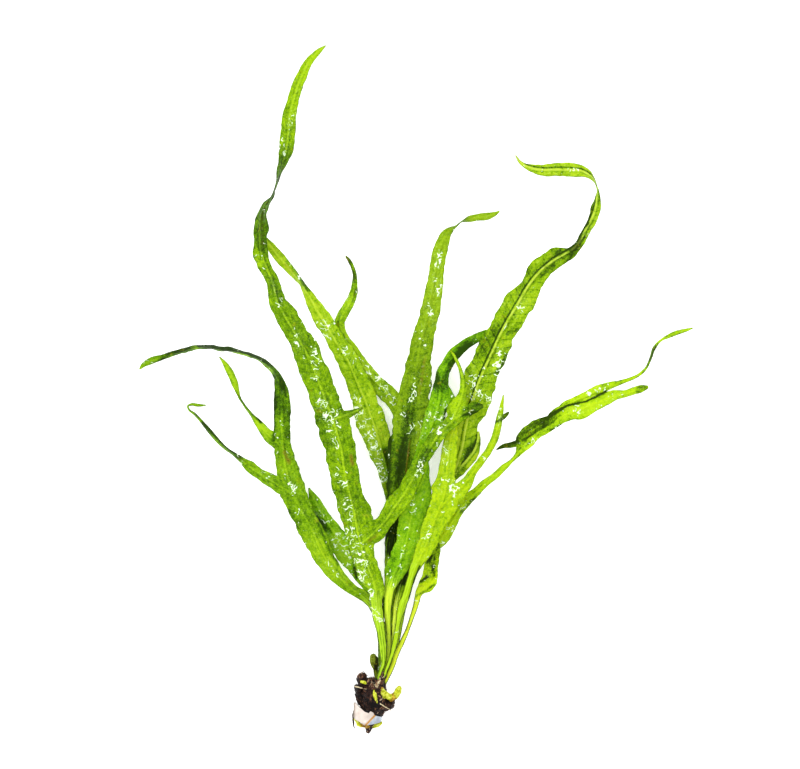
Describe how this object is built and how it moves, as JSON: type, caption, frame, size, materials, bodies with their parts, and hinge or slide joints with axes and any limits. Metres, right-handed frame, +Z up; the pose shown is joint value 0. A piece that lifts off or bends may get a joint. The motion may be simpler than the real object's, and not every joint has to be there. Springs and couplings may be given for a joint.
{
  "type": "aquarium plant",
  "caption": "Trident java fern lifted out and laid flat: long forked lime-green fronds fanning out of a short dark rhizome, a pale strip folded round its old end",
  "frame": {"origin": "on the flat underside of the rhizome, where the plant rests and is tied to wood or stone", "axes": "+Y along the longest fronds from the crown to their tips, +X to the right as seen from above, +Z up off the surface"},
  "size_m": [0.1661, 0.2066, 0.0131],
  "materials": {
    "tall_left_leaf": "wet",
    "inner_left_leaf": "wet",
    "slim_left_leaf": "wet",
    "centre_leaf": "wet",
    "forked_leaf": "wet",
    "front_leaf": "wet",
    "tall_right_leaf": "wet",
    "low_right_leaf": "wet",
    "low_left_leaf": "wet",
    "under_left_leaf": "wet",
    "young_leaf": "wet",
    "crozier_leaf": "wet",
    "bark": "rough",
    "strip": "satin"
  },
  "bodies": {
    "root": {"rhizome": "bark", "weight_strip": "strip", "crozier": "crozier_leaf", "frond_tall_left": "tall_left_leaf", "frond_inner_left": "inner_left_leaf", "frond_slim_left": "slim_left_leaf", "frond_centre": "centre_leaf", "frond_forked": "forked_leaf", "frond_front": "front_leaf", "frond_tall_right": "tall_right_leaf", "frond_low_right": "low_right_leaf", "frond_low_left": "low_left_leaf", "frond_under_left": "under_left_leaf", "frond_young": "young_leaf"}
  },
  "joints": []
}
